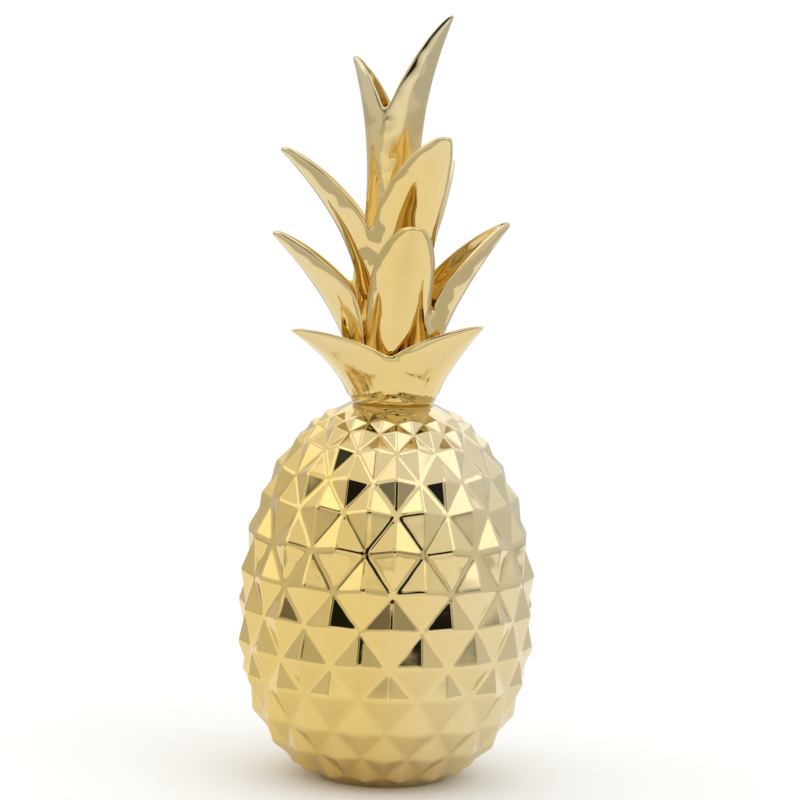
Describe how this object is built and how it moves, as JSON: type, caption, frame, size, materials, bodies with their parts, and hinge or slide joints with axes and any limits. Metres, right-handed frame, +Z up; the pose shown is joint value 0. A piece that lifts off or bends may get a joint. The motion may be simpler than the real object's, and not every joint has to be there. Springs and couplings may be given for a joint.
{
  "type": "ceramic pineapple ornament",
  "caption": "Egg-shaped hollow ceramic pineapple with diamond-point relief and a flat foot, under a lift-off crown of curved leaves.",
  "frame": {"origin": "centre of the flat foot, on the surface that the ornament stands on", "axes": "+Z up along the body's axis, -Y towards the front, +X to the viewer's right"},
  "size_m": [0.1391, 0.1393, 0.3558],
  "materials": {
    "body_gold": "mirror gold over glaze",
    "crown_gold": "mirror gold over glaze"
  },
  "bodies": {
    "root": {"body": "body_gold", "crown": "crown_gold"}
  },
  "joints": []
}
